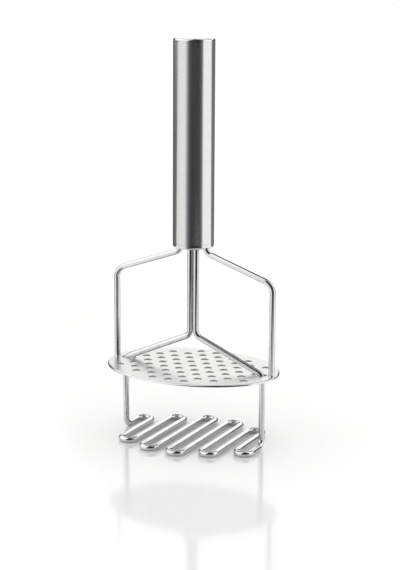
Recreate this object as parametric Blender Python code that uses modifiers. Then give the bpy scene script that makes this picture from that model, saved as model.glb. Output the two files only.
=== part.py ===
"""Potato ricer with a spring-loaded masher wire.

A tubular handle carries two frame wires that hold an oval perforated plate. A second wire, bent
into a flat serpentine under the plate, hangs from a plunger inside the handle and slides upwards
against a compression spring. Metres, +Z up. The serpentine rests on Z = 0 and the handle's axis
is the Z axis. The plate's long axis is X.
"""

import math

import bmesh
import bpy
from mathutils import Vector

# ---- driving dimensions ------------------------------------------------------------------------

GAP = 0.0003  # assembly gap kept between neighbouring pieces
MERGE = 0.00001  # weld distance for turned shapes and curve caps

HANDLE_BOTTOM = 0.1323
HANDLE_TOP = 0.2687
HANDLE_RADIUS = 0.0137
HANDLE_WALL = 0.0008
CAP_HEIGHT = 0.0056  # from a cap's outer face to the end of its spigot inside the tube
TOP_CAP_RIM = 0.0022  # height of a cap's rim, outside the tube
BOTTOM_CAP_RIM = 0.0028
CAP_EDGE = 0.0014  # rounding of a cap's outer edge
CAP_SKIRT_WALL = 0.0012
CAP_FACE = 0.0018
TUBE_EDGE = 0.0002  # chamfer on the tube's cut ends

WIRE_RADIUS = 0.0020  # frame wires and masher wire are the same stock
WIRE_CLEARANCE = 0.0003

PLATE_HALF_LENGTH = 0.0604
PLATE_HALF_WIDTH = 0.0443
PLATE_TOP = 0.0506
PLATE_THICKNESS = 0.0012
HOLE_RADIUS = 0.0026
HOLE_PITCH = 0.0114  # between holes of one row
ROW_PITCH = 0.0090  # between rows
HOLES_IN_ROW = (7, 8, 9, 6, 3)  # the middle row, then each row further out
SLOT_INNER = 0.0436
SLOT_OUTER = 0.0540
SLOT_WIDTH = 0.0050

FRAME_EXIT_X = 0.0094  # where a frame wire leaves the handle
FRAME_LEG_X = 0.0576
FRAME_APEX_Z = 0.1320  # where the two slopes would meet on the handle's axis
FRAME_SLOPE = 0.347  # fall over run
FRAME_NECK_BEND = 0.0050
FRAME_SHOULDER_BEND = 0.0080

ROD_X = WIRE_RADIUS + GAP / 2  # the two rods stand side by side
RUN_COUNT = 11
RUN_PITCH = 0.0102
MASHER_LEG_X = RUN_PITCH * (RUN_COUNT - 1) / 2
SPLAY_APEX_Z = 0.0729
SPLAY_SLOPE = 0.437
SPLAY_BEND = 0.0050
LEG_FOOT_BEND = 0.0050
LOOP_REACHES = (0.0240, 0.0330, 0.0347, 0.0270, 0.0162)  # straight length of a run past X, loop by loop
PRESS_TRAVEL = 0.0425

ANCHOR_HEIGHT = 0.0120
ANCHOR_COVER = 0.0010  # anchor block left above the ends of the frame wires
BUSH_RADIUS = 0.0055
BUSH_FLANGE_RADIUS = 0.0066
BUSH_FLANGE = 0.0015
BUSH_RECESS = 0.0006
WASHER_HEIGHT = 0.0020
WASHER_INNER = 0.0049
WASHER_OUTER = 0.0086
COLLAR_RADIUS = 0.0125
COLLAR_HEIGHT = 0.0080
BOSS_RADIUS = 0.0072
BOSS_HEIGHT = 0.0040
ROD_END_RECESS = 0.0010
SEAT_HEIGHT = 0.0030
SPRING_RADIUS = 0.0093  # to the middle of the spring wire
SPRING_WIRE_RADIUS = 0.0007
SPRING_ACTIVE_TURNS = 13
SPRING_END_PITCH = 0.0017  # the closed turn at each end

# ---- resolution --------------------------------------------------------------------------------

TURN_STEPS = 40
BEND_STEP = math.radians(15)
SPRING_STEPS = 10  # points in one turn of the spring
PLATE_STEPS = 72
HOLE_STEPS = 12
CUTTER_STEPS = 16
ARC_STEPS = 5

# ---- levels worked out from the above ------------------------------------------------------------

BORE_RADIUS = HANDLE_RADIUS - HANDLE_WALL
FIT_RADIUS = BORE_RADIUS - GAP
WIRE_BORE_RADIUS = WIRE_RADIUS + WIRE_CLEARANCE
ROD_SLOT_WIDTH = 2 * WIRE_BORE_RADIUS
ROD_SLOT_LENGTH = 2 * (ROD_X + WIRE_BORE_RADIUS)

BOTTOM_CAP_TOP = HANDLE_BOTTOM + CAP_HEIGHT
ANCHOR_BASE = BOTTOM_CAP_TOP + GAP
ANCHOR_TOP = ANCHOR_BASE + ANCHOR_HEIGHT
FLANGE_BASE = ANCHOR_TOP + GAP
FLANGE_TOP = FLANGE_BASE + BUSH_FLANGE
WASHER_BASE = FLANGE_TOP + GAP
COLLAR_BASE = WASHER_BASE + WASHER_HEIGHT + GAP
COLLAR_TOP = COLLAR_BASE + COLLAR_HEIGHT
ROD_END = COLLAR_TOP + BOSS_HEIGHT - ROD_END_RECESS
TOP_CAP_BASE = HANDLE_TOP - CAP_HEIGHT
SEAT_TOP = TOP_CAP_BASE - GAP
SEAT_BASE = SEAT_TOP - SEAT_HEIGHT

STEEL = (0.63, 0.63, 0.64)
NYLON = (0.82, 0.81, 0.78)


# ---- helpers -----------------------------------------------------------------------------------


def clear_scene():
    for obj in list(bpy.data.objects):
        bpy.data.objects.remove(obj, do_unlink=True)


def new_collection(name):
    collection = bpy.data.collections.new(name)
    bpy.context.scene.collection.children.link(collection)
    return collection


def new_material(name, colour, roughness, metallic):
    material = bpy.data.materials.new(name)
    material.use_nodes = True
    shader = material.node_tree.nodes["Principled BSDF"]
    shader.inputs["Base Color"].default_value = (*colour, 1.0)
    shader.inputs["Roughness"].default_value = roughness
    shader.inputs["Metallic"].default_value = metallic
    return material


def arc(centre, radius, start, end, steps=ARC_STEPS):
    """Points of an arc in a flat profile, from one angle to another, in degrees."""
    points = []
    for i in range(steps + 1):
        angle = math.radians(start + (end - start) * i / steps)
        x = centre[0] + radius * math.cos(angle)
        z = centre[1] + radius * math.sin(angle)
        points.append((x, z))
    return points


def turned(name, profile, base, material, closed=True):
    """A body of revolution about Z. The profile runs down its outer side from top to bottom.

    A closed profile makes a ring. An open one starts and ends on the axis.
    """
    mesh = bpy.data.meshes.new(name)
    bm = bmesh.new()
    verts = [bm.verts.new((x, 0, z)) for x, z in profile]
    for first, second in zip(verts, verts[1:]):
        bm.edges.new((first, second))
    if closed:
        bm.edges.new((verts[-1], verts[0]))
    bm.to_mesh(mesh)
    bm.free()
    obj = bpy.data.objects.new(name, mesh)
    obj.location = (0, 0, base)
    obj.data.materials.append(material)
    parts.objects.link(obj)
    screw = obj.modifiers.new("turn", "SCREW")
    screw.axis = "Z"
    screw.angle = 2 * math.pi
    screw.steps = TURN_STEPS
    screw.render_steps = TURN_STEPS
    screw.use_merge_vertices = True
    screw.merge_threshold = MERGE
    screw.use_smooth_shade = True
    return obj


def rounded_path(corners, bends):
    """Points along a bent wire: straight stretches joined by an arc at each inner corner."""
    points = [Vector(corners[0])]
    for before, corner, after, bend in zip(corners, corners[1:], corners[2:], bends):
        corner = Vector(corner)
        towards = (corner - Vector(before)).normalized()
        away = (Vector(after) - corner).normalized()
        turn = towards.angle(away)
        setback = bend * math.tan(turn / 2)
        start = corner - towards * setback
        inward = (away - towards * towards.dot(away)).normalized()
        steps = max(2, round(turn / BEND_STEP))
        for i in range(steps + 1):
            angle = turn * i / steps
            point = start + towards * bend * math.sin(angle) + inward * bend * (1 - math.cos(angle))
            if (point - points[-1]).length > MERGE:
                points.append(point)
    points.append(Vector(corners[-1]))
    return points


def wire(name, points, radius, base, material):
    """A round wire with closed ends through the points."""
    curve = bpy.data.curves.new(name, "CURVE")
    curve.dimensions = "3D"
    curve.bevel_depth = radius
    curve.bevel_resolution = 2
    curve.use_fill_caps = True
    spline = curve.splines.new("POLY")
    spline.points.add(len(points) - 1)
    for target, point in zip(spline.points, points):
        target.co = (point[0], point[1], point[2] - base, 1.0)
    spline.use_smooth = True
    obj = bpy.data.objects.new(name, curve)
    obj.location = (0, 0, base)
    curve.materials.append(material)
    parts.objects.link(obj)
    return obj


def flat_piece(name, outlines, thickness, collection):
    """A flat piece from closed outlines, the first outside and the others holes in it."""
    curve = bpy.data.curves.new(name, "CURVE")
    curve.dimensions = "2D"
    curve.fill_mode = "BOTH"
    curve.extrude = thickness / 2
    for outline in outlines:
        spline = curve.splines.new("POLY")
        spline.points.add(len(outline) - 1)
        for target, point in zip(spline.points, outline):
            target.co = (point[0], point[1], 0.0, 1.0)
        spline.use_cyclic_u = True
    obj = bpy.data.objects.new(name, curve)
    collection.objects.link(obj)
    return obj


def as_mesh(obj, collection):
    """The curve object's solid as a mesh object of the same name, with its caps welded on."""
    name = obj.name
    bpy.context.view_layer.update()
    graph = bpy.context.evaluated_depsgraph_get()
    mesh = bpy.data.meshes.new_from_object(obj.evaluated_get(graph))
    bm = bmesh.new()
    bm.from_mesh(mesh)
    bmesh.ops.remove_doubles(bm, verts=bm.verts, dist=MERGE)
    bm.to_mesh(mesh)
    bm.free()
    solid = bpy.data.objects.new(name, mesh)
    solid.matrix_world = obj.matrix_world.copy()
    bpy.data.objects.remove(obj, do_unlink=True)
    solid.name = name
    collection.objects.link(solid)
    return solid


def ellipse(half_length, half_width, steps):
    points = []
    for i in range(steps):
        angle = 2 * math.pi * i / steps
        points.append((half_length * math.cos(angle), half_width * math.sin(angle)))
    return points


def circle(centre, radius, steps):
    return [(centre[0] + x, centre[1] + y) for x, y in ellipse(radius, radius, steps)]


def stadium(start_x, end_x, width):
    """A slot's outline along X, with round ends."""
    radius = width / 2
    steps = HOLE_STEPS // 2
    right = arc((end_x - radius, 0), radius, -90, 90, steps)
    left = arc((start_x + radius, 0), radius, 90, 270, steps)
    return right + left


def hide_cutter(obj):
    obj.hide_render = True
    obj.display_type = "WIRE"
    return obj


def round_cutter(name, x, radius, base, height):
    mesh = bpy.data.meshes.new(name)
    bm = bmesh.new()
    bmesh.ops.create_cone(
        bm, cap_ends=True, segments=CUTTER_STEPS, radius1=radius, radius2=radius, depth=height
    )
    bm.to_mesh(mesh)
    bm.free()
    obj = bpy.data.objects.new(name, mesh)
    obj.location = (x, 0, base + height / 2)
    cutters.objects.link(obj)
    return hide_cutter(obj)


def rod_slot_cutter(name, base, height):
    outline = stadium(-ROD_SLOT_LENGTH / 2, ROD_SLOT_LENGTH / 2, ROD_SLOT_WIDTH)
    curve = flat_piece(name, [outline], height, cutters)
    curve.location = (0, 0, base + height / 2)
    return hide_cutter(as_mesh(curve, cutters))


def cut(obj, cutter):
    boolean = obj.modifiers.new(cutter.name, "BOOLEAN")
    boolean.operation = "DIFFERENCE"
    boolean.solver = "EXACT"
    boolean.object = cutter


# ---- handle ------------------------------------------------------------------------------------


def handle_tube():
    base = HANDLE_BOTTOM + BOTTOM_CAP_RIM + GAP
    height = HANDLE_TOP - TOP_CAP_RIM - GAP - base
    outer = HANDLE_RADIUS
    profile = [
        (outer - TUBE_EDGE, height),
        (outer, height - TUBE_EDGE),
        (outer, TUBE_EDGE),
        (outer - TUBE_EDGE, 0),
        (BORE_RADIUS, 0),
        (BORE_RADIUS, height),
    ]
    return turned("handle_tube", profile, base, satin_steel)


def handle_top_cap():
    rim = CAP_HEIGHT - TOP_CAP_RIM
    skirt = FIT_RADIUS - CAP_SKIRT_WALL
    edge = arc((HANDLE_RADIUS - CAP_EDGE, CAP_HEIGHT - CAP_EDGE), CAP_EDGE, 90, 0)
    profile = [(0, CAP_HEIGHT)] + edge + [
        (HANDLE_RADIUS, rim),
        (FIT_RADIUS, rim),
        (FIT_RADIUS, 0),
        (skirt, 0),
        (skirt, CAP_HEIGHT - CAP_FACE),
        (0, CAP_HEIGHT - CAP_FACE),
    ]
    return turned("handle_top_cap", profile, TOP_CAP_BASE, satin_steel, closed=False)


def handle_bottom_cap():
    edge = arc((HANDLE_RADIUS - CAP_EDGE, CAP_EDGE), CAP_EDGE, 0, -90)
    bore = BUSH_RADIUS + GAP
    profile = [
        (bore, CAP_HEIGHT),
        (FIT_RADIUS, CAP_HEIGHT),
        (FIT_RADIUS, BOTTOM_CAP_RIM),
        (HANDLE_RADIUS, BOTTOM_CAP_RIM),
    ] + edge + [(bore, 0)]
    cap = turned("handle_bottom_cap", profile, HANDLE_BOTTOM, satin_steel)
    for side, x in (("left", -FRAME_EXIT_X), ("right", FRAME_EXIT_X)):
        name = f"cap_wire_hole_{side}"
        base = HANDLE_BOTTOM - CAP_HEIGHT
        cut(cap, round_cutter(name, x, WIRE_BORE_RADIUS, base, 3 * CAP_HEIGHT))
    return cap


def wire_anchor_block():
    bore = BUSH_RADIUS + GAP
    profile = [
        (bore, ANCHOR_HEIGHT),
        (FIT_RADIUS, ANCHOR_HEIGHT),
        (FIT_RADIUS, 0),
        (bore, 0),
    ]
    block = turned("wire_anchor_block", profile, ANCHOR_BASE, plain_steel)
    for side, x in (("left", -FRAME_EXIT_X), ("right", FRAME_EXIT_X)):
        name = f"anchor_wire_hole_{side}"
        base = ANCHOR_BASE - ANCHOR_HEIGHT
        cut(block, round_cutter(name, x, WIRE_BORE_RADIUS, base, 3 * ANCHOR_HEIGHT))
    return block


def rod_guide_bush():
    base = HANDLE_BOTTOM + BUSH_RECESS
    height = FLANGE_TOP - base
    profile = [
        (0, height),
        (BUSH_FLANGE_RADIUS, height),
        (BUSH_FLANGE_RADIUS, height - BUSH_FLANGE),
        (BUSH_RADIUS, height - BUSH_FLANGE),
        (BUSH_RADIUS, 0),
        (0, 0),
    ]
    bush = turned("rod_guide_bush", profile, base, nylon, closed=False)
    cut(bush, rod_slot_cutter("bush_rod_slot", base - height, 3 * height))
    return bush


def stop_washer():
    profile = [
        (WASHER_INNER, WASHER_HEIGHT),
        (WASHER_OUTER, WASHER_HEIGHT),
        (WASHER_OUTER, 0),
        (WASHER_INNER, 0),
    ]
    return turned("stop_washer", profile, WASHER_BASE, nylon)


def spring_seat():
    profile = [
        (0, SEAT_HEIGHT + BOSS_HEIGHT),
        (FIT_RADIUS, SEAT_HEIGHT + BOSS_HEIGHT),
        (FIT_RADIUS, BOSS_HEIGHT),
        (BOSS_RADIUS, BOSS_HEIGHT),
        (BOSS_RADIUS, 0),
        (0, 0),
    ]
    return turned("spring_seat", profile, SEAT_BASE - BOSS_HEIGHT, nylon, closed=False)


def return_spring():
    """A compression spring with one closed turn at each end."""
    bottom = COLLAR_TOP + GAP + SPRING_WIRE_RADIUS
    top = SEAT_BASE - GAP - SPRING_WIRE_RADIUS
    active_pitch = (top - bottom - 2 * SPRING_END_PITCH) / SPRING_ACTIVE_TURNS
    turns = SPRING_ACTIVE_TURNS + 2
    points = []
    for i in range(turns * SPRING_STEPS + 1):
        turn = i / SPRING_STEPS
        closed = min(turn, 1) + max(turn - SPRING_ACTIVE_TURNS - 1, 0)
        z = bottom + closed * SPRING_END_PITCH + (turn - closed) * active_pitch
        x = SPRING_RADIUS * math.cos(2 * math.pi * turn)
        y = SPRING_RADIUS * math.sin(2 * math.pi * turn)
        points.append((x, y, z))
    return wire("return_spring", points, SPRING_WIRE_RADIUS, COLLAR_TOP, plain_steel)


# ---- frame and plate -----------------------------------------------------------------------------


def frame_wire(name, side):
    """A wire from the anchor block out over a shoulder and down onto the plate."""
    exit_x = side * FRAME_EXIT_X
    leg_x = side * FRAME_LEG_X
    corners = [
        (exit_x, 0, ANCHOR_TOP - ANCHOR_COVER),
        (exit_x, 0, FRAME_APEX_Z - FRAME_SLOPE * FRAME_EXIT_X),
        (leg_x, 0, FRAME_APEX_Z - FRAME_SLOPE * FRAME_LEG_X),
        (leg_x, 0, PLATE_TOP + GAP),
    ]
    points = rounded_path(corners, (FRAME_NECK_BEND, FRAME_SHOULDER_BEND))
    return wire(name, points, WIRE_RADIUS, PLATE_TOP, polished_steel)


def hole_centres():
    """The round holes, in rows along X, every second row shifted by half a pitch."""
    centres = []
    for row, count in enumerate(HOLES_IN_ROW):
        for side in (-1, 1) if row else (1,):
            for i in range(count):
                x = (i - (count - 1) / 2) * HOLE_PITCH
                centres.append((x, side * row * ROW_PITCH))
    return centres


def ricer_plate():
    outlines = [ellipse(PLATE_HALF_LENGTH, PLATE_HALF_WIDTH, PLATE_STEPS)]
    for centre in hole_centres():
        outlines.append(circle(centre, HOLE_RADIUS, HOLE_STEPS))
    outlines.append(stadium(SLOT_INNER, SLOT_OUTER, SLOT_WIDTH))
    outlines.append(stadium(-SLOT_OUTER, -SLOT_INNER, SLOT_WIDTH))
    plate = flat_piece("ricer_plate", outlines, PLATE_THICKNESS, parts)
    plate.location = (0, 0, PLATE_TOP - PLATE_THICKNESS / 2)
    plate.data.materials.append(polished_steel)
    return plate


# ---- masher --------------------------------------------------------------------------------------


def serpentine_corners():
    """Corners of the flat serpentine, from the left leg to the right leg.

    The front loops take the reaches from left to right and the back loops the same from right
    to left, so the serpentine looks the same when turned by half a turn.
    """
    corners = []
    for i in range(RUN_COUNT - 1):
        x = -MASHER_LEG_X + i * RUN_PITCH
        if i % 2 == 0:
            tip = LOOP_REACHES[-1 - i // 2] + RUN_PITCH / 2
        else:
            tip = -LOOP_REACHES[i // 2] - RUN_PITCH / 2
        corners.append((x, tip, WIRE_RADIUS))
        corners.append((x + RUN_PITCH, tip, WIRE_RADIUS))
    return corners


def masher_wire():
    """One wire: down from the plunger, out over the plate, through it, and along the serpentine."""
    splay_top = SPLAY_APEX_Z - SPLAY_SLOPE * ROD_X
    splay_foot = SPLAY_APEX_Z - SPLAY_SLOPE * MASHER_LEG_X
    left = [
        (-ROD_X, 0, ROD_END),
        (-ROD_X, 0, splay_top),
        (-MASHER_LEG_X, 0, splay_foot),
        (-MASHER_LEG_X, 0, WIRE_RADIUS),
    ]
    right = [(-x, y, z) for x, y, z in reversed(left)]
    loops = serpentine_corners()
    leg_bends = [SPLAY_BEND, SPLAY_BEND, LEG_FOOT_BEND]
    bends = leg_bends + [RUN_PITCH / 2] * len(loops) + leg_bends[::-1]
    points = rounded_path(left + loops + right, bends)
    return wire("masher_wire", points, WIRE_RADIUS, COLLAR_BASE, polished_steel)


def plunger_collar():
    height = COLLAR_HEIGHT + BOSS_HEIGHT
    profile = [
        (0, height),
        (BOSS_RADIUS, height),
        (BOSS_RADIUS, COLLAR_HEIGHT),
        (COLLAR_RADIUS, COLLAR_HEIGHT),
        (COLLAR_RADIUS, 0),
        (0, 0),
    ]
    collar = turned("plunger_collar", profile, COLLAR_BASE, plain_steel, closed=False)
    cut(collar, rod_slot_cutter("collar_rod_slot", COLLAR_BASE - height, 3 * height))
    return collar


def slide_axis():
    """The empty that carries the sliding pieces. It may rise by PRESS_TRAVEL along Z."""
    empty = bpy.data.objects.new("masher_slide_axis", None)
    empty.location = (0, 0, COLLAR_BASE)
    parts.objects.link(empty)
    limit = empty.constraints.new("LIMIT_LOCATION")
    limit.use_min_z = True
    limit.min_z = COLLAR_BASE
    limit.use_max_z = True
    limit.max_z = COLLAR_BASE + PRESS_TRAVEL
    return empty


def parent_in_place(obj, empty):
    obj.location = obj.location - empty.location
    obj.parent = empty


# ---- assembly ------------------------------------------------------------------------------------

clear_scene()
parts = new_collection("potato_ricer")
cutters = new_collection("cutters")
satin_steel = new_material("satin_steel", STEEL, 0.30, 1.0)
polished_steel = new_material("polished_steel", STEEL, 0.12, 1.0)
plain_steel = new_material("plain_steel", STEEL, 0.40, 1.0)
nylon = new_material("nylon", NYLON, 0.50, 0.0)

handle_tube()
handle_top_cap()
handle_bottom_cap()
wire_anchor_block()
rod_guide_bush()
stop_washer()
spring_seat()
return_spring()
frame_wire("frame_wire_left", -1)
frame_wire("frame_wire_right", 1)
ricer_plate()

slide = slide_axis()
parent_in_place(masher_wire(), slide)
parent_in_place(plunger_collar(), slide)
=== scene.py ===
import math

import bmesh
import bpy
from mathutils import Matrix, Vector


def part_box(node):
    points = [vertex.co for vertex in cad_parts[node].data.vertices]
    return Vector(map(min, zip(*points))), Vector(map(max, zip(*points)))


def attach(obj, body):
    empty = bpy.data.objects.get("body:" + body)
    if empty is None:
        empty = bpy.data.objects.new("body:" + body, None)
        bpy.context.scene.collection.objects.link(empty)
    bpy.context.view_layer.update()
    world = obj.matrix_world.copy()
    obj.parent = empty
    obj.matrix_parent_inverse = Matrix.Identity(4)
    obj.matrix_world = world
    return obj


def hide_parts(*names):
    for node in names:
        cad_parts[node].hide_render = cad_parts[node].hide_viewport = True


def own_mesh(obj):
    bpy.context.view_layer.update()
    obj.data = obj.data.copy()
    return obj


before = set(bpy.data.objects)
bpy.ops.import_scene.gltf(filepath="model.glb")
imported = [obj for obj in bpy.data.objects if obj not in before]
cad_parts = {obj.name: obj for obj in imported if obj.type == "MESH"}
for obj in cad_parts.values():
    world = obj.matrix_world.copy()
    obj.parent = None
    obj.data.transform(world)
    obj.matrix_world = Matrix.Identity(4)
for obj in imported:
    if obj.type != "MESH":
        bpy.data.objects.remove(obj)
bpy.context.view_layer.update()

# ---- sizes shared with the CAD model ------------------------------------------------------------

TOP_CAP_RIM = 0.0022  # a cap's rim outside the tube
BOTTOM_CAP_RIM = 0.0028
CAP_EDGE = 0.0014  # rounding of a cap's outer edge
TUBE_EDGE = 0.0002  # chamfer on the tube's cut ends
SEAM = 0.00004  # hairline left between the tube and a cap
TUBE_WALL = 0.0008
SPIGOT_INSET = 0.0011  # from the handle's outside to the side of a cap's spigot
SPIGOT_WALL = 0.0012
CAP_FACE = 0.0018  # thickness of the top cap's end
BOTTOM_CAP_BORE = 0.0058  # radius, round the rods
WIRE_HOLE_SLACK = 0.00008  # between a frame wire and its hole in the bottom cap
FRAME_APEX_Z = 0.1320  # where the two slopes would meet on the handle's axis
FRAME_SLOPE = 0.347  # fall over run
NECK_BEND = 0.0050
SHOULDER_BEND = 0.0080
SPLAY_APEX_Z = 0.0729  # the same for the masher's splayed wires
SPLAY_SLOPE = 0.437
SPLAY_BEND = 0.0050
LEG_FOOT_BEND = 0.0050
ROD_GAP = 0.0003
RUN_COUNT = 11
LOOP_REACHES = (0.0240, 0.0330, 0.0347, 0.0270, 0.0162)  # straight length of a run past X, loop by loop
HOLE_RADIUS = 0.0026
HOLE_PITCH = 0.0114  # between holes of one row
ROW_PITCH = 0.0090  # between rows
HOLES_IN_ROW = (7, 8, 9, 6, 3)  # the middle row, then each row further out
SLOT_INNER = 0.0436
SLOT_OUTER = 0.0540
SLOT_WIDTH = 0.0050
RIM_ROLL = 0.0009  # rounding of the plate's rim, above
RIM_BURR = 0.00012  # and below
PUNCH_ROLL = 0.0002  # rounding of its holes, above
PUNCH_BURR = 0.00005  # and below
WELD_FLARE = 0.0003  # how far the weld at a frame wire's foot stands out
WELD_HEIGHT = 0.0006
WELD_RINGS = ((0.0, 1.0), (0.15, 0.55), (0.45, 0.18), (1.0, 0.0))  # shares of its height and flare
WIRE_END_ROUNDING = 0.0005
SPRING_WIRE_RADIUS = 0.0007
SPRING_ACTIVE_TURNS = 13
SPRING_END_PITCH = 0.0017  # the closed turn at each end
SPRING_END_ROUNDING = 0.0002

# ---- places read from the frame ------------------------------------------------------------------

TUBE_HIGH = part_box("handle_tube")[1]
TOP_LOW, TOP_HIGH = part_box("handle_top_cap")
BOTTOM_LOW, BOTTOM_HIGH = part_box("handle_bottom_cap")
PLATE_LOW, PLATE_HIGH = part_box("ricer_plate")
LEFT_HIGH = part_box("frame_wire_left")[1]
RIGHT_LOW, RIGHT_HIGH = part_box("frame_wire_right")
MASHER_LOW, MASHER_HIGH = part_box("masher_wire")
SPRING_LOW, SPRING_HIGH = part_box("return_spring")

HANDLE_RADIUS = TUBE_HIGH[0]
HANDLE_TOP = TOP_HIGH[2]
HANDLE_BOTTOM = BOTTOM_LOW[2]
WIRE_RADIUS = RIGHT_HIGH[1]
FRAME_LEG_X = RIGHT_HIGH[0] - WIRE_RADIUS
FRAME_EXIT_X = RIGHT_LOW[0] + WIRE_RADIUS
MASHER_LEG_X = MASHER_HIGH[0] - WIRE_RADIUS
RUN_PITCH = 2 * MASHER_LEG_X / (RUN_COUNT - 1)
ROD_X = WIRE_RADIUS + ROD_GAP / 2
PLATE_TOP = PLATE_HIGH[2]

# ---- resolution ----------------------------------------------------------------------------------

TURN_STEPS = 160
CAP_EDGE_STEPS = 16
CUTTER_STEPS = 48
CUTTER_LENGTH = 0.1
WIRE_SIDES = 20
SPRING_SIDES = 12
BEND_STEP = math.radians(5)
PLATE_STEPS = 240
HOLE_STEPS = 36
SPRING_STEPS = 28  # in one turn of the spring
EDGE_STEPS = 5
FLOOR_STEPS = 96
MERGE = 1e-6  # points closer than this are joined
TURNED_SHARP = math.radians(40)  # edges sharper than this stay sharp on turned pieces
WIRE_SHARP = math.radians(50)
SUPPORT_INSET = 0.0006  # from a bend to the extra ring on the straight beside it


# ---- meshes --------------------------------------------------------------------------------------


def arc(centre, radius, start, end, steps=10):
    """Points of an arc in a flat outline, from one angle to another, in degrees."""
    points = []
    for i in range(steps + 1):
        angle = math.radians(start + (end - start) * i / steps)
        x = centre[0] + radius * math.cos(angle)
        y = centre[1] + radius * math.sin(angle)
        points.append((x, y))
    return points


def new_piece(name, mesh, *materials):
    obj = bpy.data.objects.new(name, mesh)
    for material in materials:
        mesh.materials.append(material)
    bpy.context.scene.collection.objects.link(obj)
    return obj


def lathe(name, profile, material, closed=False):
    """A body of revolution about Z from a profile of (radius, z) that runs down its outer side."""
    bm = bmesh.new()
    verts = [bm.verts.new((x, 0, z)) for x, z in profile]
    edges = [bm.edges.new(pair) for pair in zip(verts, verts[1:])]
    if closed:
        edges.append(bm.edges.new((verts[-1], verts[0])))
    bmesh.ops.spin(
        bm,
        geom=verts + edges,
        axis=(0, 0, 1),
        cent=(0, 0, 0),
        angle=2 * math.pi,
        steps=TURN_STEPS,
        use_merge=True,
    )
    bmesh.ops.remove_doubles(bm, verts=bm.verts, dist=MERGE)
    bmesh.ops.recalc_face_normals(bm, faces=bm.faces)
    mesh = bpy.data.meshes.new(name)
    bm.to_mesh(mesh)
    bm.free()
    mesh.shade_smooth()
    mesh.set_sharp_from_angle(angle=TURNED_SHARP)
    return new_piece(name, mesh, material)


def rounded_path(corners, bends):
    """Points along a bent wire: straight stretches joined by an arc at each inner corner."""
    points = [Vector(corners[0])]
    for before, corner, after, bend in zip(corners, corners[1:], corners[2:], bends):
        corner = Vector(corner)
        towards = (corner - Vector(before)).normalized()
        away = (Vector(after) - corner).normalized()
        turn = towards.angle(away)
        start = corner - towards * bend * math.tan(turn / 2)
        inward = (away - towards * towards.dot(away)).normalized()
        steps = max(4, round(turn / BEND_STEP))
        for i in range(steps + 1):
            angle = turn * i / steps
            point = start + towards * bend * math.sin(angle) + inward * bend * (1 - math.cos(angle))
            if (point - points[-1]).length > MERGE:
                points.append(point)
    points.append(Vector(corners[-1]))
    return points


def supported(rings):
    """Adds a ring near each end of every straight stretch, so that its shading stays straight."""
    result = [rings[0]]
    for (start, _, start_radius), ring in zip(rings, rings[1:]):
        end, _, end_radius = ring
        along = (end - start).normalized()
        if (end - start).length > 3 * SUPPORT_INSET and start_radius == end_radius:
            result.append((start + along * SUPPORT_INSET, along, start_radius))
            result.append((end - along * SUPPORT_INSET, along, start_radius))
        result.append(ring)
    return result


def sweep(name, path, radius, material, start_rings, end_rings, sides=WIRE_SIDES):
    """A round wire along a path, with UVs in metres along it and round it.

    The end rings are (distance in from the end, radius) pairs, which round or flare each end.
    """
    rings = []
    first = (path[1] - path[0]).normalized()
    last = (path[-1] - path[-2]).normalized()
    for inset, ring_radius in start_rings:
        rings.append((path[0] + first * inset, first, ring_radius))
    for before, point, after in zip(path, path[1:], path[2:]):
        along = ((point - before).normalized() + (after - point).normalized()).normalized()
        rings.append((point, along, radius))
    for inset, ring_radius in reversed(end_rings):
        rings.append((path[-1] - last * inset, last, ring_radius))
    rings = supported(rings)

    bm = bmesh.new()
    uv_layer = bm.loops.layers.uv.new("wire")
    side = first.orthogonal().normalized()
    loops = []
    travelled = [0.0]
    for index, (centre, along, ring_radius) in enumerate(rings):
        side = (side - along * side.dot(along)).normalized()
        across = along.cross(side)
        ring = []
        for i in range(sides):
            angle = 2 * math.pi * i / sides
            offset = side * math.cos(angle) + across * math.sin(angle)
            ring.append(bm.verts.new(centre + offset * ring_radius))
        loops.append(ring)
        if index:
            travelled.append(travelled[-1] + (centre - rings[index - 1][0]).length)
    girth = 2 * math.pi * radius
    for index in range(len(loops) - 1):
        for i in range(sides):
            j = (i + 1) % sides
            near, far_ring = loops[index], loops[index + 1]
            face = bm.faces.new((near[i], near[j], far_ring[j], far_ring[i]))
            around = (i / sides * girth, (i + 1) / sides * girth)
            lengths = (travelled[index], travelled[index + 1])
            corners = ((0, 0), (0, 1), (1, 1), (1, 0))
            for loop, (far, next_side) in zip(face.loops, corners):
                loop[uv_layer].uv = (lengths[far], around[next_side])
    for ring, flip in ((loops[0], True), (loops[-1], False)):
        bm.faces.new(ring[::-1] if flip else ring)
    bmesh.ops.recalc_face_normals(bm, faces=bm.faces)
    mesh = bpy.data.meshes.new(name)
    bm.to_mesh(mesh)
    bm.free()
    mesh.shade_smooth()
    mesh.set_sharp_from_angle(angle=WIRE_SHARP)
    return new_piece(name, mesh, material)


def rounded_end(radius, rounding):
    """End rings for a wire whose cut end is slightly rounded, from the tip inwards."""
    rings = []
    for x, y in arc((radius - rounding, rounding), rounding, -90, 0, EDGE_STEPS):
        rings.append((y, x))
    return rings


def ellipse(half_length, half_width, steps):
    points = []
    for i in range(steps):
        angle = 2 * math.pi * i / steps
        points.append((half_length * math.cos(angle), half_width * math.sin(angle)))
    return points


def stadium(start_x, end_x, width):
    """A slot's outline along X, with round ends."""
    radius = width / 2
    right = arc((end_x - radius, 0), radius, -90, 90, HOLE_STEPS // 2)
    left = arc((start_x + radius, 0), radius, 90, 270, HOLE_STEPS // 2)
    return right + left


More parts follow.
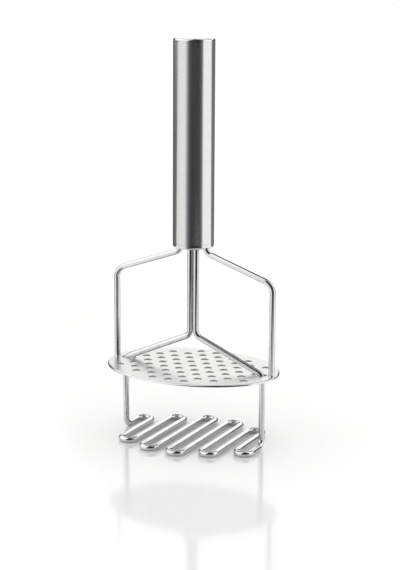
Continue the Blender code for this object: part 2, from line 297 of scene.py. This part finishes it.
def filled_face(bm, outlines, level, faces_up):
    """A flat face at a level from closed outlines, the first outside and the others holes in it."""
    curve = bpy.data.curves.new("face", "CURVE")
    curve.dimensions = "2D"
    curve.fill_mode = "FRONT" if faces_up else "BACK"
    for outline in outlines:
        spline = curve.splines.new("POLY")
        spline.points.add(len(outline) - 1)
        for target, point in zip(spline.points, outline):
            target.co = (point[0], point[1], 0.0, 1.0)
        spline.use_cyclic_u = True
    guide = bpy.data.objects.new("face", curve)
    bpy.context.scene.collection.objects.link(guide)
    bpy.context.view_layer.update()
    graph = bpy.context.evaluated_depsgraph_get()
    mesh = bpy.data.meshes.new_from_object(guide.evaluated_get(graph))
    mesh.transform(Matrix.Translation((0, 0, level)))
    bm.from_mesh(mesh)
    bpy.data.objects.remove(guide, do_unlink=True)


def wall(bm, rings, material_index):
    """Joins closed rings of points, each as long as the one before, with a band of smooth faces."""
    loops = [[bm.verts.new(point) for point in ring] for ring in rings]
    for upper, lower in zip(loops, loops[1:]):
        for i in range(len(upper)):
            j = (i + 1) % len(upper)
            face = bm.faces.new((upper[i], upper[j], lower[j], lower[i]))
            face.smooth = True
            face.material_index = material_index


def edge_rings(outline_at, low, high, top_rounding, bottom_rounding):
    """Rings of a sheet's cut edge, from its top face to its bottom face.

    The outline comes from a function of its distance inwards. Each rounding is a quarter circle.
    """
    rings = []
    for inset, drop in arc((top_rounding, top_rounding), top_rounding, 90, 180, EDGE_STEPS):
        level = high - (2 * top_rounding - drop)
        rings.append([(x, y, level) for x, y in outline_at(inset)])
    for inset, rise in arc((bottom_rounding, bottom_rounding), bottom_rounding, 180, 270, EDGE_STEPS):
        rings.append([(x, y, low + rise) for x, y in outline_at(inset)])
    return rings


# ---- shader helpers ------------------------------------------------------------------------------


POLISH_MARKS = 0.0000015  # depth of the marks that polishing leaves
BRUSH_MARKS = 0.000005
TOOL_MARKS = 0.00002
TEAR_MARKS = 0.00003
MOULD_GRAIN = 0.00003
POLISHED_DARK = (0.61, 0.61, 0.62)
POLISHED_LIGHT = (0.68, 0.68, 0.69)


class Shader:
    """A material's node tree, with short calls for the nodes that the finishes use."""

    def __init__(self, name, metallic, roughness, colour):
        self.material = bpy.data.materials.new(name)
        self.material.use_nodes = True
        self.nodes = self.material.node_tree.nodes
        self.links = self.material.node_tree.links
        self.surface = self.nodes["Principled BSDF"]
        self.surface.inputs["Metallic"].default_value = metallic
        self.surface.inputs["Roughness"].default_value = roughness
        self.surface.inputs["Base Color"].default_value = (*colour, 1)

    def link(self, output, target):
        self.links.new(output, target)

    def coordinates(self, kind, scale):
        """The object's own or the UV coordinates, stretched along each axis."""
        source = self.nodes.new("ShaderNodeTexCoord")
        mapping = self.nodes.new("ShaderNodeMapping")
        mapping.inputs["Scale"].default_value = scale
        self.link(source.outputs[kind], mapping.inputs["Vector"])
        return mapping.outputs["Vector"]

    def noise(self, vector, scale, detail, roughness):
        noise = self.nodes.new("ShaderNodeTexNoise")
        noise.inputs["Scale"].default_value = scale
        noise.inputs["Detail"].default_value = detail
        noise.inputs["Roughness"].default_value = roughness
        self.link(vector, noise.inputs["Vector"])
        return noise.outputs["Fac"]

    def spread(self, value, low, high):
        """The value, which lies round the middle of 0 to 1, spread over a range."""
        node = self.nodes.new("ShaderNodeMapRange")
        node.inputs["From Min"].default_value = 0.25
        node.inputs["From Max"].default_value = 0.75
        node.inputs["To Min"].default_value = low
        node.inputs["To Max"].default_value = high
        self.link(value, node.inputs["Value"])
        return node.outputs["Result"]

    def gloss(self, value, low, high):
        """Roughness that follows the value from low to high."""
        self.link(self.spread(value, low, high), self.surface.inputs["Roughness"])

    def blend(self, first, second, share):
        """The first value with a share of the second."""
        node = self.nodes.new("ShaderNodeMix")
        node.data_type = "FLOAT"
        node.inputs["Factor"].default_value = share
        self.link(first, node.inputs["A"])
        self.link(second, node.inputs["B"])
        return node.outputs["Result"]

    def tint(self, value, dark, light):
        """Base colour that follows the value from dark to light."""
        ramp = self.nodes.new("ShaderNodeValToRGB")
        ramp.color_ramp.elements[0].position = 0.3
        ramp.color_ramp.elements[0].color = (*dark, 1)
        ramp.color_ramp.elements[1].position = 0.7
        ramp.color_ramp.elements[1].color = (*light, 1)
        self.link(value, ramp.inputs["Fac"])
        self.link(ramp.outputs["Color"], self.surface.inputs["Base Color"])

    def bump(self, height, distance):
        """Relief as deep as the distance."""
        bump = self.nodes.new("ShaderNodeBump")
        bump.inputs["Strength"].default_value = 1.0
        bump.inputs["Distance"].default_value = distance
        self.link(height, bump.inputs["Height"])
        self.link(bump.outputs["Normal"], self.surface.inputs["Normal"])


def brushed_steel():
    """Satin steel brushed round the handle's axis: a fine grain, and reflections smeared along it."""
    shader = Shader("brushed_steel", 1.0, 0.2, (0.63, 0.63, 0.63))
    rings = shader.noise(shader.coordinates("Object", (30, 30, 4200)), 1.0, 3.0, 0.6)
    mottle = shader.noise(shader.coordinates("Object", (1, 1, 0.7)), 1500.0, 2.0, 0.6)
    cloud = shader.noise(shader.coordinates("Object", (1, 1, 0.5)), 120.0, 3.0, 0.5)
    grain = shader.blend(mottle, rings, 0.35)
    shader.gloss(shader.blend(grain, cloud, 0.25), 0.15, 0.21)
    shader.tint(grain, (0.58, 0.58, 0.58), (0.68, 0.68, 0.68))
    shader.bump(grain, BRUSH_MARKS)
    tangent = shader.nodes.new("ShaderNodeTangent")
    tangent.direction_type = "RADIAL"
    tangent.axis = "Z"
    shader.link(tangent.outputs["Tangent"], shader.surface.inputs["Tangent"])
    shader.surface.inputs["Anisotropic"].default_value = 0.6
    shader.surface.inputs["Anisotropic Rotation"].default_value = 0.25
    return shader.material


def polished_cap():
    """The handle's two ends, polished, with faint turning marks."""
    shader = Shader("polished_cap", 1.0, 0.1, (0.65, 0.65, 0.66))
    marks = shader.noise(shader.coordinates("Object", (300, 300, 1800)), 1.0, 3.0, 0.6)
    cloud = shader.noise(shader.coordinates("Object", (1, 1, 1)), 350.0, 3.0, 0.6)
    shader.gloss(shader.blend(marks, cloud, 0.5), 0.04, 0.09)
    shader.tint(cloud, POLISHED_DARK, POLISHED_LIGHT)
    shader.bump(marks, POLISH_MARKS)
    return shader.material


def polished_wire():
    """Drawn and polished wire: faint lines along it and a slight change of gloss."""
    shader = Shader("polished_wire", 1.0, 0.1, (0.65, 0.65, 0.66))
    lines = shader.noise(shader.coordinates("UV", (120, 4200, 1)), 1.0, 2.0, 0.5)
    cloud = shader.noise(shader.coordinates("Object", (1, 1, 1)), 300.0, 3.0, 0.6)
    shader.gloss(shader.blend(lines, cloud, 0.5), 0.05, 0.11)
    shader.tint(cloud, POLISHED_DARK, POLISHED_LIGHT)
    shader.bump(lines, POLISH_MARKS)
    return shader.material


def polished_plate():
    """Sheet steel, polished: fine scratches one way and soft clouds in its gloss."""
    shader = Shader("polished_plate", 1.0, 0.3, (0.7, 0.7, 0.7))
    scratches = shader.noise(shader.coordinates("Object", (160, 4200, 400)), 1.0, 3.0, 0.6)
    cloud = shader.noise(shader.coordinates("Object", (1, 1, 1)), 140.0, 3.0, 0.55)
    shader.gloss(shader.blend(scratches, cloud, 0.5), 0.26, 0.38)
    shader.tint(cloud, (0.67, 0.67, 0.67), (0.73, 0.73, 0.725))
    shader.bump(scratches, POLISH_MARKS)
    return shader.material


def punched_edge_painted_shade():
    """The torn wall that a punch leaves: rougher, with lines through the sheet. Its dark base colour is
    partly the torn steel's duller tone and partly painted shade inside the holes and slots.
    """
    # painted shade: base colour 0.40, far darker than the plate's, partly the torn steel's tone and
    # partly shade painted into the holes
    shader = Shader("punched_edge_painted_shade", 1.0, 0.4, (0.40, 0.40, 0.41))
    tear = shader.noise(shader.coordinates("Object", (2600, 2600, 500)), 1.0, 2.0, 0.6)
    shader.gloss(tear, 0.3, 0.5)
    # the tint varies at random, but its whole range stays dark as painted shade inside the holes
    shader.tint(tear, (0.38, 0.38, 0.39), (0.48, 0.48, 0.49))
    shader.bump(tear, TEAR_MARKS)
    return shader.material


def turned_steel():
    """Machined steel inside the handle, with tool rings."""
    shader = Shader("turned_steel", 1.0, 0.35, (0.5, 0.5, 0.51))
    rings = shader.noise(shader.coordinates("Object", (40, 40, 2400)), 1.0, 2.0, 0.5)
    cloud = shader.noise(shader.coordinates("Object", (1, 1, 1)), 400.0, 3.0, 0.6)
    shader.gloss(rings, 0.28, 0.42)
    shader.tint(cloud, (0.44, 0.44, 0.45), (0.54, 0.54, 0.55))
    shader.bump(rings, TOOL_MARKS)
    return shader.material


def moulded_nylon():
    """Natural nylon: off-white, with a fine moulded grain and a little light in its skin."""
    shader = Shader("moulded_nylon", 0.0, 0.5, (0.82, 0.81, 0.77))
    grain = shader.noise(shader.coordinates("Object", (1, 1, 1)), 2600.0, 3.0, 0.6)
    cloud = shader.noise(shader.coordinates("Object", (1, 1, 1)), 180.0, 2.0, 0.5)
    shader.gloss(grain, 0.42, 0.6)
    shader.tint(cloud, (0.78, 0.77, 0.72), (0.85, 0.84, 0.80))
    shader.bump(grain, MOULD_GRAIN)
    shader.surface.inputs["Subsurface Weight"].default_value = 0.2
    shader.surface.inputs["Subsurface Scale"].default_value = 0.002
    return shader.material


def floor_finish():
    """Pale glossy acrylic, lit softly from beneath, that fades out towards its rim."""
    shader = Shader("pale_floor", 0.0, 0.1, (0.82, 0.82, 0.82))
    shader.surface.inputs["IOR"].default_value = 1.7
    cloud = shader.noise(shader.coordinates("Object", (1, 1, 1)), 2.0, 2.0, 0.5)
    shader.gloss(cloud, 0.08, 0.12)
    shader.surface.inputs["Emission Color"].default_value = (1, 1, 1, 1)
    shader.surface.inputs["Emission Strength"].default_value = FLOOR_GLOW
    distance = shader.nodes.new("ShaderNodeVectorMath")
    distance.operation = "LENGTH"
    shader.link(shader.coordinates("Object", (1, 1, 1)), distance.inputs[0])
    fade = shader.nodes.new("ShaderNodeMapRange")
    fade.interpolation_type = "SMOOTHSTEP"
    fade.inputs["From Min"].default_value = 1 - FLOOR_FADE
    fade.inputs["From Max"].default_value = 1.0
    fade.inputs["To Min"].default_value = 1.0
    fade.inputs["To Max"].default_value = 0.0
    shader.link(distance.outputs["Value"], fade.inputs["Value"])
    shader.link(fade.outputs["Result"], shader.surface.inputs["Alpha"])
    return shader.material


# ---- handle --------------------------------------------------------------------------------------


def grip_tube(material):
    """The grip's plain tube, its cut ends slightly chamfered."""
    bottom = HANDLE_BOTTOM + BOTTOM_CAP_RIM + SEAM
    top = HANDLE_TOP - TOP_CAP_RIM - SEAM
    radius = HANDLE_RADIUS
    bore = radius - TUBE_WALL
    profile = [
        (radius - TUBE_EDGE / 4, top),
        (radius, top - TUBE_EDGE / 4),
        (radius, bottom + TUBE_EDGE / 4),
        (radius - TUBE_EDGE / 4, bottom),
        (bore, bottom),
        (bore, top),
    ]
    tube = lathe("grip_tube", profile, material, closed=True)
    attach(tube, "handle_frame")
    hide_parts("handle_tube")
    return tube


def grip_top(material):
    """The cap that closes the handle, with a rounded edge and a hollow spigot in the tube."""
    radius = HANDLE_RADIUS
    rim = HANDLE_TOP - TOP_CAP_RIM
    spigot = TOP_LOW[2]
    fit = radius - SPIGOT_INSET
    edge = arc((radius - CAP_EDGE, HANDLE_TOP - CAP_EDGE), CAP_EDGE, 90, 0, CAP_EDGE_STEPS)
    profile = [(0, HANDLE_TOP)] + edge + [
        (radius, rim),
        (fit, rim),
        (fit, spigot),
        (fit - SPIGOT_WALL, spigot),
        (fit - SPIGOT_WALL, HANDLE_TOP - CAP_FACE),
        (0, HANDLE_TOP - CAP_FACE),
    ]
    cap = lathe("grip_top", profile, material)
    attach(cap, "handle_frame")
    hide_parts("handle_top_cap")
    return cap


def grip_bottom(material):
    """The lower cap, bored for the rods and drilled for the two frame wires."""
    radius = HANDLE_RADIUS
    rim = HANDLE_BOTTOM + BOTTOM_CAP_RIM
    fit = radius - SPIGOT_INSET
    bore = BOTTOM_CAP_BORE
    edge = arc((radius - CAP_EDGE, HANDLE_BOTTOM + CAP_EDGE), CAP_EDGE, 0, -90, CAP_EDGE_STEPS)
    profile = [(bore, BOTTOM_HIGH[2]), (fit, BOTTOM_HIGH[2]), (fit, rim), (radius, rim)]
    profile += edge + [(bore, HANDLE_BOTTOM)]
    cap = lathe("grip_bottom", profile, material, closed=True)
    for x in (-FRAME_EXIT_X, FRAME_EXIT_X):
        cut_round_hole(cap, x, WIRE_RADIUS + WIRE_HOLE_SLACK)
    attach(cap, "handle_frame")
    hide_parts("handle_bottom_cap")
    return cap


def cut_round_hole(obj, x, radius):
    """Cuts a vertical hole right through the object at X and applies the cut."""
    bm = bmesh.new()
    bmesh.ops.create_cone(
        bm,
        cap_ends=True,
        segments=CUTTER_STEPS,
        radius1=radius,
        radius2=radius,
        depth=CUTTER_LENGTH,
    )
    mesh = bpy.data.meshes.new("hole")
    bm.to_mesh(mesh)
    bm.free()
    cutter = bpy.data.objects.new("hole", mesh)
    cutter.location = (x, 0, HANDLE_BOTTOM)
    bpy.context.scene.collection.objects.link(cutter)
    boolean = obj.modifiers.new("hole", "BOOLEAN")
    boolean.object = cutter
    bpy.context.view_layer.update()
    graph = bpy.context.evaluated_depsgraph_get()
    cut = bpy.data.meshes.new_from_object(obj.evaluated_get(graph))
    obj.modifiers.clear()
    obj.data = cut
    cut.shade_smooth()
    cut.set_sharp_from_angle(angle=TURNED_SHARP)
    bpy.data.objects.remove(cutter, do_unlink=True)


# ---- wires ---------------------------------------------------------------------------------------


def frame_wire(name, node, side, top, material):
    """One frame wire, from inside the handle out over a slope and down to its weld on the plate."""
    exit_x = side * FRAME_EXIT_X
    leg_x = side * FRAME_LEG_X
    corners = [
        (exit_x, 0, top),
        (exit_x, 0, FRAME_APEX_Z - FRAME_SLOPE * FRAME_EXIT_X),
        (leg_x, 0, FRAME_APEX_Z - FRAME_SLOPE * FRAME_LEG_X),
        (leg_x, 0, PLATE_TOP),
    ]
    path = rounded_path(corners, (NECK_BEND, SHOULDER_BEND))
    foot = [(WELD_HEIGHT * rise, WIRE_RADIUS + WELD_FLARE * flare) for rise, flare in WELD_RINGS]
    top_end = rounded_end(WIRE_RADIUS, WIRE_END_ROUNDING)
    wire = sweep(name, path, WIRE_RADIUS, material, top_end, foot)
    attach(wire, "handle_frame")
    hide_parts(node)
    return wire


def serpentine_wire(material):
    """The whole masher wire: rod, splay, leg, the runs one after another, and the same back up."""
    splay_top = SPLAY_APEX_Z - SPLAY_SLOPE * ROD_X
    splay_foot = SPLAY_APEX_Z - SPLAY_SLOPE * MASHER_LEG_X
    level = MASHER_LOW[2] + WIRE_RADIUS
    left = [
        (-ROD_X, 0, MASHER_HIGH[2]),
        (-ROD_X, 0, splay_top),
        (-MASHER_LEG_X, 0, splay_foot),
        (-MASHER_LEG_X, 0, level),
    ]
    right = [(-x, y, z) for x, y, z in reversed(left)]
    loops = []
    for i in range(RUN_COUNT - 1):
        x = -MASHER_LEG_X + i * RUN_PITCH
        if i % 2 == 0:
            tip = LOOP_REACHES[-1 - i // 2] + RUN_PITCH / 2
        else:
            tip = -LOOP_REACHES[i // 2] - RUN_PITCH / 2
        loops.append((x, tip, level))
        loops.append((x + RUN_PITCH, tip, level))
    leg_bends = [SPLAY_BEND, SPLAY_BEND, LEG_FOOT_BEND]
    bends = leg_bends + [RUN_PITCH / 2] * len(loops) + leg_bends[::-1]
    path = rounded_path(left + loops + right, bends)
    ends = rounded_end(WIRE_RADIUS, WIRE_END_ROUNDING)
    wire = sweep("serpentine_wire", path, WIRE_RADIUS, material, ends, ends)
    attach(wire, "masher")
    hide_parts("masher_wire")
    return wire


def coil_spring(material):
    """The return spring, closed at both ends; the real one shortens as the masher rises, but here it is
    built at one length only.
    """
    bottom = SPRING_LOW[2] + SPRING_WIRE_RADIUS
    top = SPRING_HIGH[2] - SPRING_WIRE_RADIUS
    radius = SPRING_HIGH[0] - SPRING_WIRE_RADIUS
    pitch = (top - bottom - 2 * SPRING_END_PITCH) / SPRING_ACTIVE_TURNS
    path = []
    for i in range((SPRING_ACTIVE_TURNS + 2) * SPRING_STEPS + 1):
        turn = i / SPRING_STEPS
        closed = min(turn, 1) + max(turn - SPRING_ACTIVE_TURNS - 1, 0)
        z = bottom + closed * SPRING_END_PITCH + (turn - closed) * pitch
        angle = 2 * math.pi * turn
        path.append(Vector((radius * math.cos(angle), radius * math.sin(angle), z)))
    ends = rounded_end(SPRING_WIRE_RADIUS, SPRING_END_ROUNDING)
    spring = sweep("coil_spring", path, SPRING_WIRE_RADIUS, material, ends, ends, SPRING_SIDES)
    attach(spring, "handle_frame")
    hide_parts("return_spring")
    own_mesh(spring)
    return spring


# ---- plate ---------------------------------------------------------------------------------------


def hole_centres():
    """The round holes, in rows along X, every second row shifted by half a pitch."""
    centres = []
    for row, count in enumerate(HOLES_IN_ROW):
        for side in (-1, 1) if row else (1,):
            for i in range(count):
                x = (i - (count - 1) / 2) * HOLE_PITCH
                centres.append((x, side * row * ROW_PITCH))
    return centres


def perforated_plate(polished, punched, trimmed):
    """The oval sheet, its rim rolled over from the top face and its holes punched from above."""
    low, high = PLATE_LOW[2], PLATE_HIGH[2]

    def rim(inset):
        return ellipse(PLATE_HIGH[0] - inset, PLATE_HIGH[1] - inset, PLATE_STEPS)

    def hole_at(centre):
        def outline(inset):
            hole = ellipse(HOLE_RADIUS + inset, HOLE_RADIUS + inset, HOLE_STEPS)
            return [(centre[0] + x, centre[1] + y) for x, y in hole]

        return outline

    def slot_at(side):
        def outline(inset):
            slot = stadium(SLOT_INNER - inset, SLOT_OUTER + inset, SLOT_WIDTH + 2 * inset)
            return [(side * x, side * y) for x, y in slot]

        return outline

    bm = bmesh.new()
    edges = [(rim, RIM_ROLL, RIM_BURR, 2)]
    for centre in hole_centres():
        # hole and slot walls take the punched-edge material, whose dark colour is partly painted shade
        # in these recesses
        edges.append((hole_at(centre), PUNCH_ROLL, PUNCH_BURR, 1))
    for side in (-1, 1):
        edges.append((slot_at(side), PUNCH_ROLL, PUNCH_BURR, 1))
    for outline_at, top_rounding, bottom_rounding, material_index in edges:
        wall(bm, edge_rings(outline_at, low, high, top_rounding, bottom_rounding), material_index)
    filled_face(bm, [outline_at(top) for outline_at, top, _, _ in edges], high, True)
    filled_face(bm, [outline_at(bottom) for outline_at, _, bottom, _ in edges], low, False)
    bmesh.ops.remove_doubles(bm, verts=bm.verts, dist=MERGE)
    bmesh.ops.recalc_face_normals(bm, faces=bm.faces)
    mesh = bpy.data.meshes.new("perforated_plate")
    bm.to_mesh(mesh)
    bm.free()
    plate = new_piece("perforated_plate", mesh, polished, punched, trimmed)
    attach(plate, "handle_frame")
    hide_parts("ricer_plate")
    return plate


# ---- carried-over pieces -------------------------------------------------------------------------


def finish_node(node, material):
    """Gives a CAD piece that keeps its shape a finished material."""
    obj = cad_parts[node]
    for material_slot in obj.material_slots:
        material_slot.material = material


# ---- studio --------------------------------------------------------------------------------------

CAMERA_YAW = math.radians(26.09)
CAMERA_PITCH = math.radians(12.67)
CAMERA_ROLL = math.radians(0.31)
CAMERA_PLACE = (0.4531, -0.9150, 0.3357)
FOCAL_LENGTH = 99.6
SENSOR_WIDTH = 36
CLIP_END = 50

FLOOR_GAP = 0.00002  # below the serpentine
FLOOR_HALF_LENGTH = 0.56
FLOOR_HALF_WIDTH = 0.145
FLOOR_TURN = math.radians(74)  # from straight across to the floor's length, forward on the right
FLOOR_SHIFT = 0.03  # to the right of the object
FLOOR_FADE = 0.3  # share of its size over which it fades out
FLOOR_GLOW = 0.03
ROOM_LIGHT = 1.08
FRONT_REACH = 144  # degrees that the front's dark gap reaches, up from the front and over the top
FRONT_EDGE = 8.0  # how sharply it ends there
LOW_PANELS = (  # degrees from the camera's direction, to the right, and brightness: near the floor
    (-180, 1.15),
    (-172, 1.15),
    (-166, 0.30),
    (-150, 0.26),
    (-100, 0.26),
    (-92, 1.15),
    (-50, 1.15),
    (-45, 0.60),
    (-37, 0.16),
    (-20, 0.03),
    (30, 0.03),
    (42, 0.07),
    (50, 0.20),
    (55, 1.35),
    (107, 1.35),
    (114, 0.32),
    (166, 0.32),
    (172, 1.15),
    (180, 1.15),
)
PANELS = (  # the same, just below the horizon
    (-180, 1.15),
    (-172, 1.15),
    (-166, 0.22),
    (-150, 0.16),
    (-97, 0.17),
    (-88, 1.15),
    (-52, 1.15),
    (-44, 0.90),
    (-38, 0.50),
    (-28, 0.18),
    (-18, 0.07),
    (-8, 0.035),
    (24, 0.04),
    (36, 0.11),
    (44, 0.26),
    (49, 0.55),
    (53, 1.30),
    (104, 1.30),
    (112, 0.24),
    (166, 0.22),
    (172, 1.15),
    (180, 1.15),
)

MID_PANELS = (  # the same, just above the horizon
    (-180, 1.15),
    (-172, 1.15),
    (-166, 0.16),
    (-140, 0.12),
    (-120, 1.2),
    (-44, 1.2),
    (-34, 0.50),
    (-28, 0.1),
    (30, 0.035),
    (49, 0.12),
    (53, 1.35),
    (108, 1.35),
    (113, 0.05),
    (164, 0.05),
    (172, 1.15),
    (180, 1.15),
)
HIGH_PANELS = (  # the same, higher up
    (-180, 1.5),
    (-174, 1.5),
    (-168, 0.3),
    (-140, 0.3),
    (-124, 1.2),
    (-90, 1.6),
    (-60, 1.6),
    (-38, 1.3),
    (-30, 0.06),
    (30, 0.035),
    (58, 0.12),
    (64, 1.5),
    (180, 1.5),
)
# sines of the elevations between which each set turns into the next
BLENDS = ((-0.250, -0.222), (-0.06, 0.0), (0.24, 0.38))
HIGH_LEAN = 1.95  # how fast the high gap's left edge leans in above LEAN_START, per unit of sine
LEAN_START = 0.56
SHADE_TINT = (0.98, 0.96, 1.07)
LIGHT_TINT = (1.01, 1.0, 0.985)


def camera():
    """The view, from in front, a little to the right and above."""
    data = bpy.data.cameras.new("camera")
    data.lens = FOCAL_LENGTH
    data.sensor_width = SENSOR_WIDTH
    data.clip_end = CLIP_END
    obj = bpy.data.objects.new("camera", data)
    turn = Matrix.Rotation(CAMERA_YAW, 4, "Z") @ Matrix.Rotation(math.pi / 2 - CAMERA_PITCH, 4, "X")
    obj.matrix_world = Matrix.Translation(CAMERA_PLACE) @ turn @ Matrix.Rotation(CAMERA_ROLL, 4, "Z")
    bpy.context.scene.collection.objects.link(obj)
    bpy.context.scene.camera = obj


def floor(material):
    """An oval sheet under the object. Its own coordinates run from 0 in the middle to 1 at the rim."""
    bm = bmesh.new()
    bmesh.ops.create_circle(bm, cap_ends=True, segments=FLOOR_STEPS, radius=1)
    mesh = bpy.data.meshes.new("floor")
    bm.to_mesh(mesh)
    bm.free()
    obj = new_piece("floor", mesh, material)
    obj.scale = (FLOOR_HALF_LENGTH, FLOOR_HALF_WIDTH, 1)
    obj.rotation_euler.z = CAMERA_YAW - FLOOR_TURN
    obj.location = Matrix.Rotation(CAMERA_YAW, 3, "Z") @ Vector((FLOOR_SHIFT, 0, 0))
    obj.location.z = MASHER_LOW[2] - FLOOR_GAP


class World:
    """The studio's node tree, with short calls for its sums."""

    def __init__(self):
        world = bpy.data.worlds.new("studio")
        bpy.context.scene.world = world
        world.use_nodes = True
        self.nodes = world.node_tree.nodes
        self.links = world.node_tree.links
        self.nodes.clear()

    def sum(self, operation, first, second=None):
        node = self.nodes.new("ShaderNodeMath")
        node.operation = operation
        for socket, value in zip(node.inputs, (first, second)):
            if isinstance(value, (int, float)):
                socket.default_value = value
            elif value is not None:
                self.links.new(value, socket)
        return node.outputs[0]

    def ramp(self, stops, angle):
        """The colour at an angle round the horizon, from (degrees, brightness) stops."""
        node = self.nodes.new("ShaderNodeValToRGB")
        elements = node.color_ramp.elements
        while len(elements) < len(stops):
            elements.new(0.5)
        for element, (degrees, brightness) in zip(elements, stops):
            element.position = degrees / 360 + 0.5
            tint = SHADE_TINT if brightness < 0.5 else LIGHT_TINT
            element.color = (*(brightness * channel for channel in tint), 1)
        self.links.new(self.sum("ADD", self.sum("DIVIDE", angle, 2 * math.pi), 0.5), node.inputs["Fac"])
        return node.outputs["Color"]

    def blend(self, first, second, value, limits):
        """The first colour where the value is under both limits, the second where it is over both."""
        share = self.nodes.new("ShaderNodeMapRange")
        share.inputs["From Min"].default_value = limits[0]
        share.inputs["From Max"].default_value = limits[1]
        self.links.new(value, share.inputs["Value"])
        mix = self.nodes.new("ShaderNodeMix")
        mix.data_type = "RGBA"
        self.links.new(share.outputs["Result"], mix.inputs[0])
        colours = [socket for socket in mix.inputs if socket.type == "RGBA"]
        self.links.new(first, colours[0])
        self.links.new(second, colours[1])
        return [socket for socket in mix.outputs if socket.type == "RGBA"][0]

    def background(self, strength):
        node = self.nodes.new("ShaderNodeBackground")
        node.inputs["Strength"].default_value = strength
        return node


def view_angles(world):
    """Where a ray goes: its angle round from the front, the same for the high band, and its height.

    The front reaches up and over the top. The high band's angle also leans in as it rises.
    """
    coordinates = world.nodes.new("ShaderNodeTexCoord")
    turned = world.nodes.new("ShaderNodeMapping")
    turned.inputs["Rotation"].default_value = (0, 0, -CAMERA_YAW)
    world.links.new(coordinates.outputs["Generated"], turned.inputs["Vector"])
    axes = world.nodes.new("ShaderNodeSeparateXYZ")
    world.links.new(turned.outputs["Vector"], axes.inputs["Vector"])
    across, back, up = axes.outputs["X"], axes.outputs["Y"], axes.outputs["Z"]

    reach = math.radians(FRONT_REACH)
    front_share = world.sum("MULTIPLY", back, -math.sin(reach))
    top_share = world.sum("MULTIPLY", world.sum("ABSOLUTE", up), -math.cos(reach))
    side = world.sum("MULTIPLY", world.sum("ADD", front_share, top_share), FRONT_EDGE)
    side = world.sum("MAXIMUM", world.sum("MINIMUM", side, 1.0), -1.0)
    level = world.sum("MULTIPLY", world.sum("ABSOLUTE", back), side)
    angle = world.sum("ARCTAN2", across, level)

    lean_in = world.sum("MULTIPLY", world.sum("SUBTRACT", up, LEAN_START), HIGH_LEAN)
    lean_in = world.sum("ADD", world.sum("MAXIMUM", lean_in, 0.0), 1.0)
    high_angle = world.sum("MINIMUM", world.sum("MULTIPLY", angle, lean_in), angle)
    return angle, high_angle, up


def studio_world():
    """A white room for sight and soft light; polished metal sees its panels.

    In front there is a dark gap. White panels stand on its left and right, dark flags come next, and
    the backdrop is white.
    """
    world = World()
    angle, high_angle, up = view_angles(world)
    panels = world.ramp(LOW_PANELS, angle)
    bands = ((PANELS, angle), (MID_PANELS, angle), (HIGH_PANELS, high_angle))
    for (stops, direction), limits in zip(bands, BLENDS):
        panels = world.blend(panels, world.ramp(stops, direction), up, limits)

    studio = world.background(1.0)
    world.links.new(panels, studio.inputs["Color"])
    white = world.background(ROOM_LIGHT)
    white.inputs["Color"].default_value = (1, 1, 1, 1)
    path = world.nodes.new("ShaderNodeLightPath")
    mix = world.nodes.new("ShaderNodeMixShader")
    world.links.new(path.outputs["Is Glossy Ray"], mix.inputs["Fac"])
    world.links.new(white.outputs["Background"], mix.inputs[1])
    world.links.new(studio.outputs["Background"], mix.inputs[2])
    output = world.nodes.new("ShaderNodeOutputWorld")
    world.links.new(mix.outputs["Shader"], output.inputs["Surface"])


# ---- assembly ------------------------------------------------------------------------------------

camera()
studio_world()
bpy.context.scene.view_settings.view_transform = "Standard"
floor(floor_finish())

handle_steel = brushed_steel()
cap_steel = polished_cap()
wire_steel = polished_wire()
inner_steel = turned_steel()
nylon = moulded_nylon()

grip_tube(handle_steel)
grip_top(cap_steel)
grip_bottom(cap_steel)
frame_wire("left_frame_wire", "frame_wire_left", -1, LEFT_HIGH[2], wire_steel)
frame_wire("right_frame_wire", "frame_wire_right", 1, RIGHT_HIGH[2], wire_steel)
serpentine_wire(wire_steel)
coil_spring(inner_steel)
perforated_plate(polished_plate(), punched_edge_painted_shade(), wire_steel)
finish_node("wire_anchor_block", inner_steel)
finish_node("plunger_collar", inner_steel)
finish_node("rod_guide_bush", nylon)
finish_node("stop_washer", nylon)
finish_node("spring_seat", nylon)
